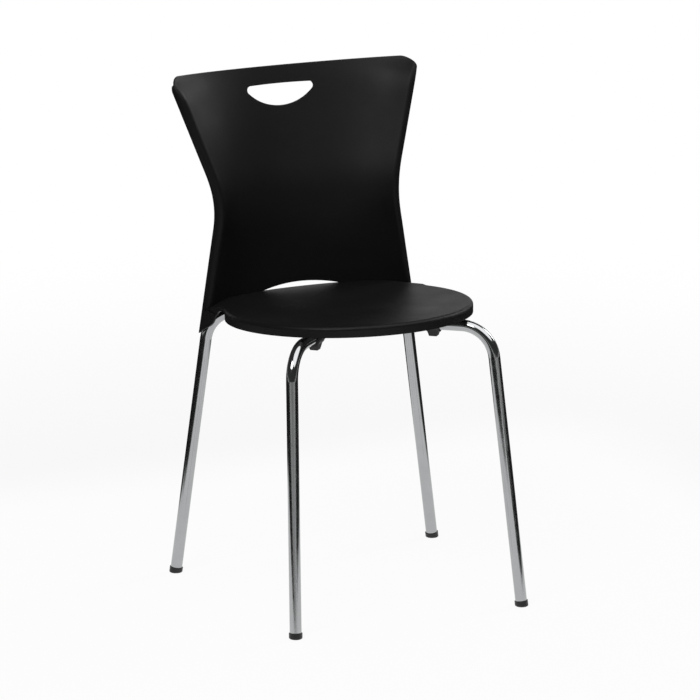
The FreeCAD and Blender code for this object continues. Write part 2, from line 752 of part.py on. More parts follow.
def seat_outline(inset):
    """Plan of the seat: a disc, sides that run on to the back's edges, and the back's curve."""
    front, hub, rear = seat_side()
    hollow = size("seat_side_round") + inset
    centre = point(0, size("seat_centre_y"), 0)
    towards_disc = centre - hub
    towards_disc.normalize()
    along_side = rear - front
    along_side.normalize()
    towards_side = point(-along_side.y, along_side.x, 0)
    bisector = towards_disc + towards_side
    bisector.normalize()
    on_disc = hub + towards_disc * hollow
    on_side = hub + towards_side * hollow
    radius = (on_disc - centre).Length
    rear_middle, rear_radius = rear_curve(inset)
    reach = on_side - rear_middle
    forward = reach.dot(along_side)
    corner = on_side + along_side * (math.sqrt(forward ** 2 - reach.dot(reach) + rear_radius ** 2) - forward)
    edges = [arc(mirrored(on_disc, -1), centre - point(0, radius, 0), on_disc)]
    for sign in (1, -1):
        edges.append(arc(mirrored(on_disc, sign), mirrored(hub + bisector * hollow, sign),
                         mirrored(on_side, sign)))
        edges.append(line(mirrored(on_side, sign), mirrored(corner, sign)))
    edges.append(arc(mirrored(corner, -1), rear_middle + point(0, rear_radius, 0), corner))
    return edges


def rear_curve(inset):
    """Centre and radius of the back's rear face at the seat's height."""
    z = size("slot_foot_z")
    roll = size("roll_radius")
    hub_x = half_width(z) - roll - size("flange_splay") * size("flange_depth")
    gap = spine_line(z) - edge_line(z) + size("flange_depth")
    radius = (hub_x ** 2 + gap ** 2 - roll ** 2) / (2 * (roll + gap))
    rear_radius = radius + size("shell_wall")
    return point(0, spine_line(z) - radius, 0), rear_radius - inset


def make_seat():
    """Dished disc with a turned-down rim, hollow below."""
    low = size("seat_centre_z") - size("seat_radius") / 2
    lift = point(0, 0, low)
    rise = point(0, 0, size("seat_radius"))
    outer = Part.Face(wire(seat_outline(0))).extrude(rise)
    outer.translate(lift)
    inner = Part.Face(wire(seat_outline(size("skirt_wall")))).extrude(rise)
    inner.translate(lift)
    solid = outer.common(under_seat(0)).cut(under_seat(size("skirt_depth")))
    rim = [edge for edge in solid.Edges if on_seat_rim(edge)]
    solid = solid.makeFillet(size("rim_round"), rim)
    hollow = inner.common(under_seat(size("shell_wall")))
    for side in (1, -1):
        solid = solid.cut(shoulder_trim(side, 0))
        hollow = hollow.cut(shoulder_trim(side, size("shell_wall")))
    return solid.cut(hollow)


def on_seat_rim(edge):
    """An edge of the seat's upper surface that isn't against the back."""
    middle = edge.valueAt((edge.FirstParameter + edge.LastParameter) / 2)
    if abs(middle.z - seat_height(middle.x, middle.y)) > 0.1:
        return False
    return middle.y < size("edge_y") - size("flange_depth")


def shoulder_trim(side, drop):
    """What lies above the round shoulder that falls away beside the back, lowered by drop."""
    front, hub, rear = seat_side()
    front_x = front.x - size("shoulder_front_width")
    rear_x = rear.x - size("shoulder_rear_width")
    start = point(front_x, front.y, seat_height(front_x, front.y))
    end = point(rear_x, rear.y, seat_height(rear_x, rear.y))
    crest = mirrored(end, side) - mirrored(start, side)
    length = crest.Length
    crest.normalize()
    outward = point(side * crest.y, -side * crest.x, 0)
    outward.normalize()
    upward = outward.cross(crest) * side
    radius = size("shoulder_radius")
    origin = mirrored(start, side) - crest * length - upward * drop
    reach = 3 * length
    corners = [origin - upward * radius, origin + upward * radius,
               origin + upward * radius + outward * 2 * radius, origin - upward * radius + outward * 2 * radius]
    block = prism(polyline(corners + corners[:1]), crest * reach)
    roll = Part.makeCylinder(radius, 3 * reach, origin - upward * radius - crest * reach, crest)
    return block.cut(roll)


def make_flaps():
    """Tilted side walls that hang from the seat's rear corners over the rear knees."""
    front, hub, rear = seat_side()
    slope = (rear.x - front.x) / (rear.y - front.y)
    foot = front + point(-slope, -1, 0) * (front.y - size("notch_foot_y"))
    inset = point(-size("skirt_wall"), 0, 0)
    high = size("back_bottom_z") + size("skirt_wall")
    low = size("flap_tip_z") - 1
    flaps = []
    for side in (1, -1):
        sections = []
        for z in (low, high):
            flare = point(half_width(z) - rear.x, 0, z)
            outer_front = foot + flare
            outer_rear = rear + flare
            corners = [outer_front, outer_rear, outer_rear + inset, outer_front + inset]
            sections.append(wire(polyline([mirrored(p, side) for p in corners + corners[:1]])))
        flap = Part.makeLoft(sections, True, True)
        flaps.append(flap.cut(shoulder_trim(side, 0).cut(roll_space())))
    return flaps


def roll_space():
    """The space under the back's rolled edge, where a flap keeps its full height."""
    reach = size("seat_radius")
    front_y = size("edge_y") - size("flange_depth") - size("roll_radius") / 2
    return Part.makeBox(2 * reach, reach, 2 * reach, point(-reach, front_y, size("back_bottom_z") - reach))


def leg_opening():
    """What the flaps' lower edge and the notch leave free, right across the chair."""
    past_edge = 2
    below_tip = 1
    shelf_sag = 2
    rise_back = 8
    rise_up = 2
    tip = point(0, size("edge_y") + past_edge, size("flap_tip_z") - below_tip)
    step = point(0, size("flap_step_y"), size("flap_step_z"))
    notch = point(0, size("notch_y"), size("notch_z"))
    side_x = seat_side()[0].x
    foot_z = seat_height(side_x, size("notch_foot_y")) - size("skirt_depth") - below_tip
    foot = point(0, size("notch_foot_y"), foot_z)
    shelf = (tip + step) * 0.5 - point(0, shelf_sag, 0)
    rise = (step + notch) * 0.5 + point(0, rise_back, rise_up)
    curve = Part.BSplineCurve()
    curve.interpolate([tip, shelf, step, rise, notch, (notch + foot) * 0.5, foot])
    low = size("flap_tip_z") - MARGIN
    edges = [curve.toShape(), line(foot, point(0, foot.y, low)),
             line(point(0, foot.y, low), point(0, tip.y, low)), line(point(0, tip.y, low), tip)]
    reach = 2 * size("seat_radius")
    opening = prism(edges, point(reach, 0, 0))
    opening.translate(point(-reach / 2, 0, 0))
    middle = 2 * (side_x - 3 * size("skirt_wall"))
    spared = Part.makeBox(middle, reach, reach, point(-middle / 2, 0, low))
    return opening.cut(spared)


def make_bosses():
    """Solid columns down to the tabs, later pocketed for the threaded inserts."""
    bosses = []
    for corner in TABS:
        base = screw_base(corner, size("tab_drop"))
        height = seat_height(base.x, base.y) - base.z - size("shell_wall") / 2
        bosses.append(Part.makeCylinder(size("boss_diameter") / 2, height, base, FRAME_NORMAL))
    return bosses


def boss_pockets():
    pockets = []
    for corner in TABS:
        base = screw_base(corner, size("tab_drop"))
        radius = size("insert_diameter") / 2 + size("joint_gap")
        pockets.append(Part.makeCylinder(radius, size("boss_pocket"), base, FRAME_NORMAL))
    return pockets


def make_ribs():
    """Ribs under the seat, clear of the crossed tubes."""
    thick = size("rib_thickness")
    wall = size("shell_wall")
    middle_y = size("seat_centre_y")
    clear = size("tube_diameter") + thick
    front_y = middle_y - size("seat_radius")
    runs = []
    runs.append((point(-thick / 2, front_y + wall, 0), point(thick / 2, middle_y - 4 * clear, 0)))
    rear_y = spine_line(size("slot_foot_z"))
    runs.append((point(-thick / 2, middle_y + 4 * clear, 0), point(thick / 2, rear_y, 0)))
    for sign in (1, -1):
        inner_x = 5 * clear
        outer_x = size("seat_radius") - wall
        xs = sorted((sign * inner_x, sign * outer_x))
        runs.append((point(xs[0], middle_y - thick / 2, 0), point(xs[1], middle_y + thick / 2, 0)))
    upper = under_seat(wall / 2)
    lower = under_seat(wall + size("rib_height"))
    band = upper.cut(lower)
    ribs = []
    for near, far in runs:
        low = size("seat_centre_z") - size("seat_radius") / 4
        bar = Part.makeBox(far.x - near.x, far.y - near.y, size("seat_radius") / 2,
                           point(near.x, near.y, low))
        ribs.append(bar.common(band))
    return ribs


def make_shell():
    shell = make_seat()
    shell = shell.fuse([make_back()] + make_flaps())
    shell = shell.cut(leg_opening())
    shell = shell.fuse(make_bosses() + make_ribs())
    for pocket in boss_pockets():
        shell = shell.cut(pocket)
    solids = sorted(shell.Solids, key=lambda solid: solid.Volume)
    print("shell solids", [round(solid.Volume) for solid in solids])
    keep(feature("shell", solids[-1]), "seat_and_back_shell")


def check(items):
    """Stop if an object has failed or a shape is empty or invalid."""
    for item in doc.Objects:
        if "Invalid" in item.State or "Error" in item.State:
            raise RuntimeError("%s has failed" % item.Name)
    for item in items:
        if item.Shape.isNull() or not item.Shape.isValid():
            raise RuntimeError("%s has no valid shape" % item.Label)


def write(items):
    os.makedirs("parts", exist_ok=True)
    for item in items:
        item.Shape.exportStep("parts/%s.step" % item.Label)
        print("%-30s %2d solids %10.1f mm3" % (item.Label, len(item.Shape.Solids), item.Shape.Volume))


make_shell()
make_frame_tubes()
make_crossing_welds()
make_crossing_plate()
make_tabs()
make_fasteners()
make_buffers()
make_glides()
doc.recompute()
check(nodes)
write(nodes)
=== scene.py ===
# %% [markdown]
# # A choir chair: one moulded shell on four chromed legs
#
# The chair is a single moulding of black polypropylene that serves as seat
# and back, screwed to a frame of bent steel tube that is plated after
# welding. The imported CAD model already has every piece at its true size, so
# this lesson starts from it, gives each piece the finish of the real one, and
# lights the chair as a photographer would.

import math

import bpy
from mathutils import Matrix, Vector

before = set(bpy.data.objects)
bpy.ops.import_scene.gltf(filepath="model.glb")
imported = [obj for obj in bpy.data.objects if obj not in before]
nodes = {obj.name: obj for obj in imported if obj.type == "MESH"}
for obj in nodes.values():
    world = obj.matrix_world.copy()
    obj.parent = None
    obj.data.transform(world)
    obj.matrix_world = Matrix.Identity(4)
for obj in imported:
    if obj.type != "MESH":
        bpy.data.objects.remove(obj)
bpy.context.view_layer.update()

# %% [markdown]
# ## The camera
#
# The photograph was taken from the chair's left front corner, at standing
# height and from far off, so the legs hardly converge. A long lens about
# eight metres away gives that flat perspective. It could be aimed by eye, but
# its place and aim were worked out from the feet, the knees and the seat's
# outline, so the model falls on the photographed chair. The focal length is
# known in pixels of the square photograph, and the sensor's width turns it
# into millimetres.

# %% Camera
PHOTO_PIXELS = 700
FOCAL_PIXELS = 4954
SENSOR_MM = 36
SEEING_DISTANCE = 200
CAMERA_PLACE = Vector((-3.25034, -7.02137, 2.44638))
CAMERA_TARGET = Vector((-0.01216, -0.05485, 0.40083))

camera_data = bpy.data.cameras.new("photo_camera")
camera_data.sensor_width = SENSOR_MM
camera_data.lens = FOCAL_PIXELS * SENSOR_MM / PHOTO_PIXELS
camera_data.clip_end = SEEING_DISTANCE
camera = bpy.data.objects.new("photo_camera", camera_data)
camera.location = CAMERA_PLACE
camera.rotation_mode = "QUATERNION"
camera.rotation_quaternion = (CAMERA_TARGET - CAMERA_PLACE).to_track_quat("-Z", "Y")
bpy.context.scene.collection.objects.link(camera)
bpy.context.scene.camera = camera
print("lens:", round(camera_data.lens, 1), "mm")

# %% [markdown]
# ## Helpers for colours and pattern sizes
#
# Colours are written as the hex codes of a paint chart, which are sRGB.
# Blender's shaders work in linear light, so one function turns them. Another
# turns the real size of a pattern into the scale of a texture.


# %% Colours and sizes
def linear(code):
    """The linear colour of an sRGB hex code."""
    parts = [int(code[i : i + 2], 16) / 255 for i in (1, 3, 5)]
    bent = [p / 12.92 if p <= 0.04045 else ((p + 0.055) / 1.055) ** 2.4 for p in parts]
    return (*bent, 1)


def per_metre(size_mm):
    """The texture scale at which a pattern repeats about every size_mm."""
    return 1000 / size_mm


print("darkest black:", [round(v, 4) for v in linear("#09090A")])

# %% [markdown]
# ## Helpers for materials
#
# A material is a tree of nodes. One function adds a node to a tree, sets what
# it is told to set, and links any input that is given a socket. The other
# starts a material and gives the coordinates that its patterns follow. Every
# piece's origin is the chair's own, so a pattern runs on from one piece to
# the next.


# %% Nodes
def add(tree, kind, inputs=(), **settings):
    """Adds a node, with its settings, and its inputs as values or links."""
    made = tree.nodes.new(kind)
    for name, value in settings.items():
        setattr(made, name, value)
    for name, value in dict(inputs).items():
        if isinstance(value, bpy.types.NodeSocket):
            tree.links.new(value, made.inputs[name])
        else:
            made.inputs[name].default_value = value
    return made


def new_material(name):
    """An empty material, its tree, and a socket with the object's own coordinates."""
    material = bpy.data.materials.new(name)
    material.use_nodes = True
    tree = material.node_tree
    tree.nodes.clear()
    place = add(tree, "ShaderNodeTexCoord").outputs["Object"]
    return material, tree, place


print("helpers:", add.__name__, new_material.__name__)

# %% [markdown]
# ## Black polypropylene
#
# The shell is injection moulded polypropylene, coloured through. Its mould
# is spark eroded, which leaves a fine satin grain, so light spreads softly
# and the face never mirrors. The real grain is about 0.4 mm across, too fine
# to show here, so it is drawn at 1.4 mm. Thick plastic also shrinks a little
# unevenly, which bends the highlights over a hand's breadth, and years of
# coats and hands rub it smoother in places.
#
# A picture of grained plastic could be wrapped round the shell, but it would
# show seams. Noise in the shell's own space has none, so there is one noise
# for each of these effects.

# %% Shell plastic
GRAIN_MM = 1.4
GRAIN_DEPTH = 0.00016
FLOW_MM = 90
SHRINK_MM = 70
SHRINK_DEPTH = 0.0004
RUBBED_MM = 160
RUBBED_ROUGHNESS = 0.42
GRAINED_ROUGHNESS = 0.52
POLYPROPYLENE_IOR = 1.49
SATIN_SPECULAR = 0.2

plastic, tree, place = new_material("moulded_black_polypropylene")
grain = add(
    tree,
    "ShaderNodeTexNoise",
    {"Vector": place, "Scale": per_metre(GRAIN_MM), "Detail": 3, "Roughness": 0.6},
)
flow = add(
    tree,
    "ShaderNodeTexNoise",
    {"Vector": place, "Scale": per_metre(FLOW_MM), "Detail": 2, "Distortion": 0.6},
)
shrink = add(
    tree,
    "ShaderNodeTexNoise",
    {"Vector": place, "Scale": per_metre(SHRINK_MM), "Detail": 0},
)
rubbed = add(
    tree,
    "ShaderNodeTexNoise",
    {"Vector": place, "Scale": per_metre(RUBBED_MM), "Detail": 4, "Roughness": 0.55},
)
print("grain scale:", round(per_metre(GRAIN_MM)), "per metre")

# %% [markdown]
# The colour, the roughness and two bumps, the grain upon the waves, meet in
# one shader. Its specular level is low, because the grain traps much of the
# light that a smooth face would mirror.

# %% Shell plastic's shader
tint = add(
    tree,
    "ShaderNodeMix",
    {"Factor": flow.outputs["Fac"], "A": linear("#09090A"), "B": linear("#0F0E0F")},
    data_type="RGBA",
)
sheen = add(
    tree,
    "ShaderNodeMapRange",
    {
        "Value": rubbed.outputs["Fac"],
        "From Min": 0.35,
        "From Max": 0.65,
        "To Min": RUBBED_ROUGHNESS,
        "To Max": GRAINED_ROUGHNESS,
    },
)
waves = add(
    tree,
    "ShaderNodeBump",
    {"Height": shrink.outputs["Fac"], "Distance": SHRINK_DEPTH, "Strength": 0.6},
)
satin = add(
    tree,
    "ShaderNodeBump",
    {
        "Height": grain.outputs["Fac"],
        "Distance": GRAIN_DEPTH,
        "Strength": 0.8,
        "Normal": waves.outputs["Normal"],
    },
)
plastic_shader = add(
    tree,
    "ShaderNodeBsdfPrincipled",
    {
        "Base Color": tint.outputs["Result"],
        "Roughness": sheen.outputs["Result"],
        "Normal": satin.outputs["Normal"],
        "IOR": POLYPROPYLENE_IOR,
        "Specular IOR Level": SATIN_SPECULAR,
    },
)
add(tree, "ShaderNodeOutputMaterial", {"Surface": plastic_shader.outputs["BSDF"]})
print("shell:", plastic.name)

# %% [markdown]
# ## Chromed steel tube
#
# The legs are welded steel tube, polished, then plated with nickel and
# chromium. Chromium reflects a little over half of the light with hardly any
# tint, and everything else on it is reflection. Here its grey is set darker
# than that, to match the tubes in the photograph. Polishing leaves faint
# lines along the tube and the plating is never quite even, which blurs and
# bends the reflections a little.
#
# An anisotropic shader could draw the lines, but it has to be told the way
# along every bend. Noise that is stretched upright does without, and most of
# each leg stands nearly upright.

# %% Tube plating
POLISH_MM = 0.8
POLISH_STRETCH = (1, 1, 0.04)
POLISH_DEPTH = 0.000004
PLATING_MM = 22
CLEAR_PLATING = 0.07
CLOUDY_PLATING = 0.13

chrome, tree, place = new_material("chromed_steel_tube")
stretch = add(tree, "ShaderNodeMapping", {"Vector": place, "Scale": POLISH_STRETCH})
lines = add(
    tree,
    "ShaderNodeTexNoise",
    {"Vector": stretch.outputs["Vector"], "Scale": per_metre(POLISH_MM), "Detail": 2},
)
cloud = add(
    tree,
    "ShaderNodeTexNoise",
    {"Vector": place, "Scale": per_metre(PLATING_MM), "Detail": 3},
)
tint = add(
    tree,
    "ShaderNodeMix",
    {"Factor": cloud.outputs["Fac"], "A": linear("#A4A5A6"), "B": linear("#B2B3B4")},
    data_type="RGBA",
)
gloss = add(
    tree,
    "ShaderNodeMapRange",
    {
        "Value": cloud.outputs["Fac"],
        "From Min": 0.3,
        "From Max": 0.7,
        "To Min": CLEAR_PLATING,
        "To Max": CLOUDY_PLATING,
    },
)
polish = add(
    tree,
    "ShaderNodeBump",
    {"Height": lines.outputs["Fac"], "Distance": POLISH_DEPTH, "Strength": 0.4},
)
chrome_shader = add(
    tree,
    "ShaderNodeBsdfPrincipled",
    {
        "Base Color": tint.outputs["Result"],
        "Roughness": gloss.outputs["Result"],
        "Normal": polish.outputs["Normal"],
        "Metallic": 1,
    },
)
add(tree, "ShaderNodeOutputMaterial", {"Surface": chrome_shader.outputs["BSDF"]})
print("tubes:", chrome.name)

# %% [markdown]
# ## Plated plates and welds
#
# The crossing plate, the tabs and the weld beads go through the same bath
# as the tube, but nobody polishes them first. The steel's mill scale and
# the welds' ripples show through the plating as a duller, mottled grey.
# Colour, gloss and height could each have a pattern, but one noise that
# drives all three looks like a single uneven skin.

# %% Plate plating
MILL_MM = 6
MILL_DEPTH = 0.00005
SMOOTH_MILL = 0.24
ROUGH_MILL = 0.34

dull_chrome, tree, place = new_material("unpolished_plated_steel")
mill = add(
    tree,
    "ShaderNodeTexNoise",
    {"Vector": place, "Scale": per_metre(MILL_MM), "Detail": 5, "Roughness": 0.65},
)
tint = add(
    tree,
    "ShaderNodeMix",
    {"Factor": mill.outputs["Fac"], "A": linear("#A0A2A4"), "B": linear("#B4B6B8")},
    data_type="RGBA",
)
gloss = add(
    tree,
    "ShaderNodeMapRange",
    {
        "Value": mill.outputs["Fac"],
        "From Min": 0.3,
        "From Max": 0.7,
        "To Min": SMOOTH_MILL,
        "To Max": ROUGH_MILL,
    },
)
scale_bump = add(
    tree,
    "ShaderNodeBump",
    {"Height": mill.outputs["Fac"], "Distance": MILL_DEPTH, "Strength": 0.4},
)
dull_shader = add(
    tree,
    "ShaderNodeBsdfPrincipled",
    {
        "Base Color": tint.outputs["Result"],
        "Roughness": gloss.outputs["Result"],
        "Normal": scale_bump.outputs["Normal"],
        "Metallic": 1,
    },
)
add(tree, "ShaderNodeOutputMaterial", {"Surface": dull_shader.outputs["BSDF"]})
print("plates:", dull_chrome.name)

# %% [markdown]
# ## Zinc on screws and washers
#
# Bought screws are zinc plated and passivated, which gives a cool, slightly
# cloudy silver with a hint of blue and yellow. A plain silver would be lost
# beside the chromium. Zinc grows in small crystals, so a cell pattern sets
# the gloss from each crystal's middle to its edge.

# %% Fastener plating
SPANGLE_MM = 1.2
HAZE_MM = 3 * SPANGLE_MM
CRYSTAL_MIDDLE = 0.24
CRYSTAL_EDGE = 0.36

zinc, tree, place = new_material("passivated_zinc_steel")
spangle = add(
    tree,
    "ShaderNodeTexVoronoi",
    {"Vector": place, "Scale": per_metre(SPANGLE_MM)},
)
haze = add(
    tree,
    "ShaderNodeTexNoise",
    {"Vector": place, "Scale": per_metre(HAZE_MM), "Detail": 3},
)
tint = add(
    tree,
    "ShaderNodeMix",
    {"Factor": haze.outputs["Fac"], "A": linear("#A9B0B8"), "B": linear("#C9C6B8")},
    data_type="RGBA",
)
gloss = add(
    tree,
    "ShaderNodeMapRange",
    {
        "Value": spangle.outputs["Distance"],
        "From Max": 0.8,
        "To Min": CRYSTAL_MIDDLE,
        "To Max": CRYSTAL_EDGE,
    },
)
zinc_shader = add(
    tree,
    "ShaderNodeBsdfPrincipled",
    {"Base Color": tint.outputs["Result"], "Roughness": gloss.outputs["Result"], "Metallic": 1},
)
add(tree, "ShaderNodeOutputMaterial", {"Surface": zinc_shader.outputs["BSDF"]})
print("fasteners:", zinc.name)

# %% [markdown]
# ## Brass inserts
#
# A knurled brass insert is pressed hot into each boss to hold a machine
# screw. Turned brass is warm, fairly smooth, and darkens in patches where
# hot plastic touched it. The knurls are far too small to see under the seat,
# so one noise for the patches is enough.

# %% Insert metal
TARNISH_MM = 2.5
BRIGHT_BRASS = 0.2
TARNISHED_BRASS = 0.4

brass, tree, place = new_material("turned_brass")
tarnish = add(
    tree,
    "ShaderNodeTexNoise",
    {"Vector": place, "Scale": per_metre(TARNISH_MM), "Detail": 4},
)
tint = add(
    tree,
    "ShaderNodeMix",
    {"Factor": tarnish.outputs["Fac"], "A": linear("#9C7A3C"), "B": linear("#D9B866")},
    data_type="RGBA",
)
gloss = add(
    tree,
    "ShaderNodeMapRange",
    {"Value": tarnish.outputs["Fac"], "To Min": BRIGHT_BRASS, "To Max": TARNISHED_BRASS},
)
brass_shader = add(
    tree,
    "ShaderNodeBsdfPrincipled",
    {"Base Color": tint.outputs["Result"], "Roughness": gloss.outputs["Result"], "Metallic": 1},
)
add(tree, "ShaderNodeOutputMaterial", {"Surface": brass_shader.outputs["BSDF"]})
print("inserts:", brass.name)

# %% [markdown]
# ## Soft black buffers
#
# The stacking buffers hook over the tube under the seat's edge. They are
# soft polyethylene, waxier and duller than the shell. The shell's material
# would nearly do, but these pieces are too small for its broad waves, so
# they have a fine bloom on an even roughness.

# %% Buffer plastic
WAX_MM = 2
WAX_DEPTH = 0.0001
WAX_ROUGHNESS = 0.6
POLYETHYLENE_IOR = 1.51

wax, tree, place = new_material("soft_black_polyethylene")
bloom = add(
    tree,
    "ShaderNodeTexNoise",
    {"Vector": place, "Scale": per_metre(WAX_MM), "Detail": 4},
)
tint = add(
    tree,
    "ShaderNodeMix",
    {"Factor": bloom.outputs["Fac"], "A": linear("#0A0A0A"), "B": linear("#161616")},
    data_type="RGBA",
)
wax_bump = add(
    tree,
    "ShaderNodeBump",
    {"Height": bloom.outputs["Fac"], "Distance": WAX_DEPTH, "Strength": 0.5},
)
wax_shader = add(
    tree,
    "ShaderNodeBsdfPrincipled",
    {
        "Base Color": tint.outputs["Result"],
        "Roughness": WAX_ROUGHNESS,
        "IOR": POLYETHYLENE_IOR,
        "Normal": wax_bump.outputs["Normal"],
    },
)
add(tree, "ShaderNodeOutputMaterial", {"Surface": wax_shader.outputs["BSDF"]})
print("buffers:", wax.name)

# %% [markdown]
# ## Foot glides
#
# The glides are the only pieces that touch the floor. Dragging scratches
# their soles and grinds pale dust into the scratches, so the plastic turns
# grey and rough in its lowest two millimetres. The wear could be painted on
# each mesh by hand, but the height above the floor, times a scratch pattern,
# says how worn each spot is.

# %% Glide wear
SCUFF_MM = 1.5
SCUFF_HEIGHT = 0.002

scuffed, tree, place = new_material("scuffed_black_polyethylene")
height = add(tree, "ShaderNodeSeparateXYZ", {"Vector": place})
scratch = add(
    tree,
    "ShaderNodeTexNoise",
    {"Vector": place, "Scale": per_metre(SCUFF_MM), "Detail": 6, "Roughness": 0.7},
)
low = add(
    tree,
    "ShaderNodeMapRange",
    {"Value": height.outputs["Z"], "From Max": SCUFF_HEIGHT, "To Min": 1, "To Max": 0},
)
worn = add(
    tree,
    "ShaderNodeMath",
    {0: low.outputs["Result"], 1: scratch.outputs["Fac"]},
    operation="MULTIPLY",
)
print("scuffed below:", SCUFF_HEIGHT * 1000, "mm")

# %% [markdown]
# The wear then drives both the colour and the roughness, and the scratches
# themselves are a shallow bump.

# %% Glide plastic
SCRATCH_DEPTH = 0.0001
FRESH_GLIDE = 0.42
WORN_GLIDE = 0.8

tint = add(
    tree,
    "ShaderNodeMix",
    {"Factor": worn.outputs["Value"], "A": linear("#0C0C0D"), "B": linear("#6A6862")},
    data_type="RGBA",
)
gloss = add(
    tree,
    "ShaderNodeMapRange",
    {"Value": worn.outputs["Value"], "To Min": FRESH_GLIDE, "To Max": WORN_GLIDE},
)
scratch_bump = add(
    tree,
    "ShaderNodeBump",
    {"Height": scratch.outputs["Fac"], "Distance": SCRATCH_DEPTH, "Strength": 0.4},
)
glide_shader = add(
    tree,
    "ShaderNodeBsdfPrincipled",
    {
        "Base Color": tint.outputs["Result"],
        "Roughness": gloss.outputs["Result"],
        "Normal": scratch_bump.outputs["Normal"],
        "IOR": POLYETHYLENE_IOR,
    },
)
add(tree, "ShaderNodeOutputMaterial", {"Surface": glide_shader.outputs["BSDF"]})
print("glides:", scuffed.name)

# %% [markdown]
# ## Dress the pieces
#
# Each piece could be given its material by name, but every CAD piece also
# says which slot its material goes into. So one short table gives each slot
# its finish, and alike pieces can't come out different.

# %% Assign the finishes
FINISHES = {
    "shell": plastic,
    "tube": chrome,
    "plate": dull_chrome,
    "fastener": zinc,
    "insert": brass,
    "buffer": wax,
    "glide": scuffed,
}
for piece in nodes.values():
    for finish_slot in piece.material_slots:
        finish_slot.material = FINISHES[finish_slot.material.name]
print("dressed:", len(nodes))

# %% [markdown]
# ## The studio floor
#
# The chair stands on a wide white floor that runs on to the horizon. A plane
# would do, but a round one has its edge equally far away in every view.

# %% Floor disc
FLOOR_RADIUS = 40
FLOOR_SIDES = 128

turn = 2 * math.pi / FLOOR_SIDES
corners = [
    (FLOOR_RADIUS * math.cos(turn * i), FLOOR_RADIUS * math.sin(turn * i), 0)
    for i in range(FLOOR_SIDES)
]
floor_mesh = bpy.data.meshes.new("studio_floor")
floor_mesh.from_pydata(corners, [], [list(range(FLOOR_SIDES))])
floor = bpy.data.objects.new("studio_floor", floor_mesh)
bpy.context.scene.collection.objects.link(floor)
print("floor:", FLOOR_RADIUS, "m")

# %% [markdown]
# ## White for the camera
#
# A lit floor seldom comes out as white as the photograph's, and a longer
# exposure would fade the chair too. So the rays that show the floor directly,
# from the camera, off a mirror or through glass, see mostly plain white, with
# a small share of the light that falls on it, which keeps a faint shadow at
# the feet. A few steps away the floor is all white.

# %% Share of plain white
NEAR_WHITE = 0.93
NEAR_REACH = 0.6
FAR_REACH = 2.4

floor_paint, tree, place = new_material("white_studio_floor")
floor_mesh.materials.append(floor_paint)
floor_rays = add(tree, "ShaderNodeLightPath")
camera_or_glossy = add(
    tree,
    "ShaderNodeMath",
    {0: floor_rays.outputs["Is Camera Ray"], 1: floor_rays.outputs["Is Glossy Ray"]},
    operation="MAXIMUM",
)
direct = add(
    tree,
    "ShaderNodeMath",
    {0: camera_or_glossy.outputs["Value"], 1: floor_rays.outputs["Is Transmission Ray"]},
    operation="MAXIMUM",
)
reach = add(tree, "ShaderNodeVectorMath", {0: place}, operation="LENGTH")
whiteness = add(
    tree,
    "ShaderNodeMapRange",
    {
        "Value": reach.outputs["Value"],
        "From Min": NEAR_REACH,
        "From Max": FAR_REACH,
        "To Min": NEAR_WHITE,
        "To Max": 1,
    },
    interpolation_type="SMOOTHSTEP",
)
white_share = add(
    tree,
    "ShaderNodeMath",
    {0: direct.outputs["Value"], 1: whiteness.outputs["Result"]},
    operation="MULTIPLY",
)
print("white near the feet:", NEAR_WHITE)

# %% [markdown]
# ## A sheet of paper for the mirrors
#
# A photographer stands the product on a sheet of white paper, and the dark
# room past its edges draws dark lines down both sides of each tube. Here the
# sheet is about two metres wide and ends behind the chair. It could be a
# piece of its own, but then its edges would show in the picture. So it is a
# pattern on the floor, soft at its edges, that the camera doesn't see.

# %% Paper outline
PAPER_MIDDLE = -0.3
PAPER_EDGE = 1.1
PAPER_BACK = 0.7
PAPER_CURL = 0.15

across = add(tree, "ShaderNodeSeparateXYZ", {"Vector": place})
off_middle = add(
    tree,
    "ShaderNodeMath",
    {0: across.outputs["X"], 1: PAPER_MIDDLE},
    operation="SUBTRACT",
)
from_middle = add(
    tree,
    "ShaderNodeMath",
    {0: off_middle.outputs["Value"]},
    operation="ABSOLUTE",
)
within = [
    add(
        tree,
        "ShaderNodeMapRange",
        {
            "Value": distance,
            "From Min": edge - PAPER_CURL,
            "From Max": edge + PAPER_CURL,
            "To Min": 1,
            "To Max": 0,
        },
        interpolation_type="SMOOTHSTEP",
    )
    for distance, edge in (
        (from_middle.outputs["Value"], PAPER_EDGE),
        (across.outputs["Y"], PAPER_BACK),
    )
]
sheet = add(
    tree,
    "ShaderNodeMath",
    {0: within[0].outputs["Result"], 1: within[1].outputs["Result"]},
    operation="MULTIPLY",
)
print("paper width:", 2 * PAPER_EDGE, "m")

# %% [markdown]
# The floor's paint is the paper's white on the sheet and a dark grey past it.
# The plain white is laid over it by the share worked out above, for the
# camera everywhere and for mirrors only on the sheet.

# %% Floor paint
plain_here = add(
    tree,
    "ShaderNodeMath",
    {0: floor_rays.outputs["Is Camera Ray"], 1: sheet.outputs["Value"]},
    operation="MAXIMUM",
)
share = add(
    tree,
    "ShaderNodeMath",
    {0: white_share.outputs["Value"], 1: plain_here.outputs["Value"]},
    operation="MULTIPLY",
)
paper = add(
    tree,
    "ShaderNodeMix",
    {"Factor": sheet.outputs["Value"], "A": linear("#303030"), "B": linear("#E8E8E8")},
    data_type="RGBA",
)
paint = add(tree, "ShaderNodeBsdfDiffuse", {"Color": paper.outputs["Result"]})
plain_white = add(tree, "ShaderNodeEmission", {"Color": linear("#FFFFFF"), "Strength": 1})
laid_over = add(
    tree,
    "ShaderNodeMixShader",
    {0: share.outputs["Value"], 1: paint.outputs["BSDF"], 2: plain_white.outputs["Emission"]},
)
add(tree, "ShaderNodeOutputMaterial", {"Surface": laid_over.outputs["Shader"]})
print("floor paint:", floor_paint.name)

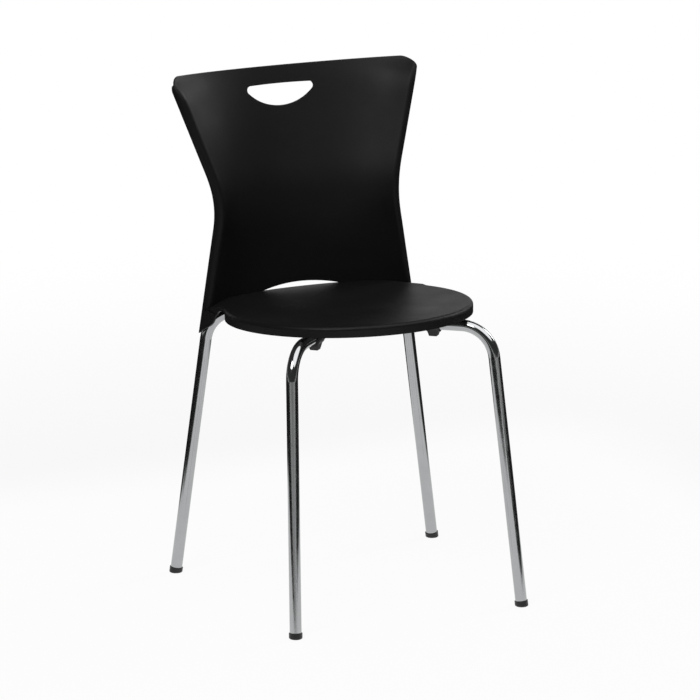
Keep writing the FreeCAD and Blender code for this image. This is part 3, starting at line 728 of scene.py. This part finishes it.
# %% [markdown]
# ## The room
#
# The studio is white behind the chair and dim in front of it, where the
# photographer stands. Black plastic shows its shape by what it mirrors, so
# this is what keeps the back dark and lets the far edge of the seat shine.
# A white sheet overhead puts the bright streak on each bend of the tube.
# Built walls would stand in the way of other views, so these are patches of
# the sky round one direction each. The cosine of the angle from that
# direction says where a patch begins and where it has its full light.

# %% Wall, overhead sheet and horizon
WALL_DIRECTION = (0.42, 0.907, 0)
WALL_RANGE = (0.78, 0.96)
WALL_LIGHT = 0.75
OVERHEAD_DIRECTION = (0.20, -0.35, 0.915)
OVERHEAD_RANGE = (0.83, 0.87)
OVERHEAD_LIGHT = 2.0
HORIZON_RANGE = (-0.02, 0.1)
HORIZON_LIGHT = 0.7
DARK_ROOM_LIGHT = 0.05

world = bpy.data.worlds.new("studio")
world.use_nodes = True
bpy.context.scene.world = world
tree = world.node_tree
tree.nodes.clear()
direction = add(tree, "ShaderNodeTexCoord").outputs["Generated"]
upward = add(tree, "ShaderNodeSeparateXYZ", {"Vector": direction}).outputs["Z"]
towards_wall, towards_overhead = [
    add(tree, "ShaderNodeVectorMath", {0: direction, 1: patch}, operation="DOT_PRODUCT")
    for patch in (WALL_DIRECTION, OVERHEAD_DIRECTION)
]
wall, overhead, horizon = [
    add(
        tree,
        "ShaderNodeMapRange",
        {
            "Value": value,
            "From Min": start,
            "From Max": end,
            "To Min": before,
            "To Max": after,
        },
        interpolation_type="SMOOTHSTEP",
    ).outputs["Result"]
    for value, (start, end), before, after in (
        (towards_wall.outputs["Value"], WALL_RANGE, 0, WALL_LIGHT),
        (towards_overhead.outputs["Value"], OVERHEAD_RANGE, 0, OVERHEAD_LIGHT),
        (upward, HORIZON_RANGE, HORIZON_LIGHT, DARK_ROOM_LIGHT),
    )
]
print("room:", world.name)

# %% [markdown]
# Only mirrored light sees this room. Matt surfaces get an even light from
# all round, and the camera sees plain white.

# %% World
EVEN_LIGHT = 0.45

world_rays = add(tree, "ShaderNodeLightPath")
walls = add(tree, "ShaderNodeMath", {0: wall, 1: horizon}, operation="MAXIMUM")
room = add(
    tree,
    "ShaderNodeMath",
    {0: walls.outputs["Value"], 1: overhead},
    operation="MAXIMUM",
)
shine = add(
    tree,
    "ShaderNodeMix",
    {
        "Factor": world_rays.outputs["Is Diffuse Ray"],
        "A": room.outputs["Value"],
        "B": EVEN_LIGHT,
    },
    data_type="FLOAT",
)
level = add(
    tree,
    "ShaderNodeMath",
    {0: shine.outputs["Result"], 1: world_rays.outputs["Is Camera Ray"]},
    operation="MAXIMUM",
)
sky = add(
    tree,
    "ShaderNodeBackground",
    {"Color": linear("#FFFFFF"), "Strength": level.outputs["Value"]},
)
add(tree, "ShaderNodeOutputWorld", {"Surface": sky.outputs["Background"]})
print("even light:", EVEN_LIGHT)

# %% [markdown]
# ## Two soft boxes
#
# Bare bulbs would throw hard shadows, so both lamps are broad, like lamps
# behind white cloth. One stands high at the chair's left front and lights the
# seat and the back, and a weaker one at its right keeps the far legs and the
# rim from going flat.

# %% Lamps
SOFT_BOXES = {
    "front_soft_box": {"place": (-2.7, -1.9, 3.9), "width": 2.2, "height": 1.6, "watts": 80},
    "right_soft_box": {"place": (3.4, 0.6, 2.4), "width": 1.0, "height": 1.8, "watts": 40},
}
CHAIR_MIDDLE = Vector((0, 0, 0.45))

for name, box in SOFT_BOXES.items():
    lamp_data = bpy.data.lights.new(name, "AREA")
    lamp_data.shape = "RECTANGLE"
    lamp_data.size = box["width"]
    lamp_data.size_y = box["height"]
    lamp_data.energy = box["watts"]
    lamp = bpy.data.objects.new(name, lamp_data)
    lamp.location = box["place"]
    lamp.rotation_mode = "QUATERNION"
    aim = CHAIR_MIDDLE - Vector(box["place"])
    lamp.rotation_quaternion = aim.to_track_quat("-Z", "Y")
    bpy.context.scene.collection.objects.link(lamp)
bpy.context.scene.view_settings.view_transform = "Standard"
print("lamps:", list(SOFT_BOXES))
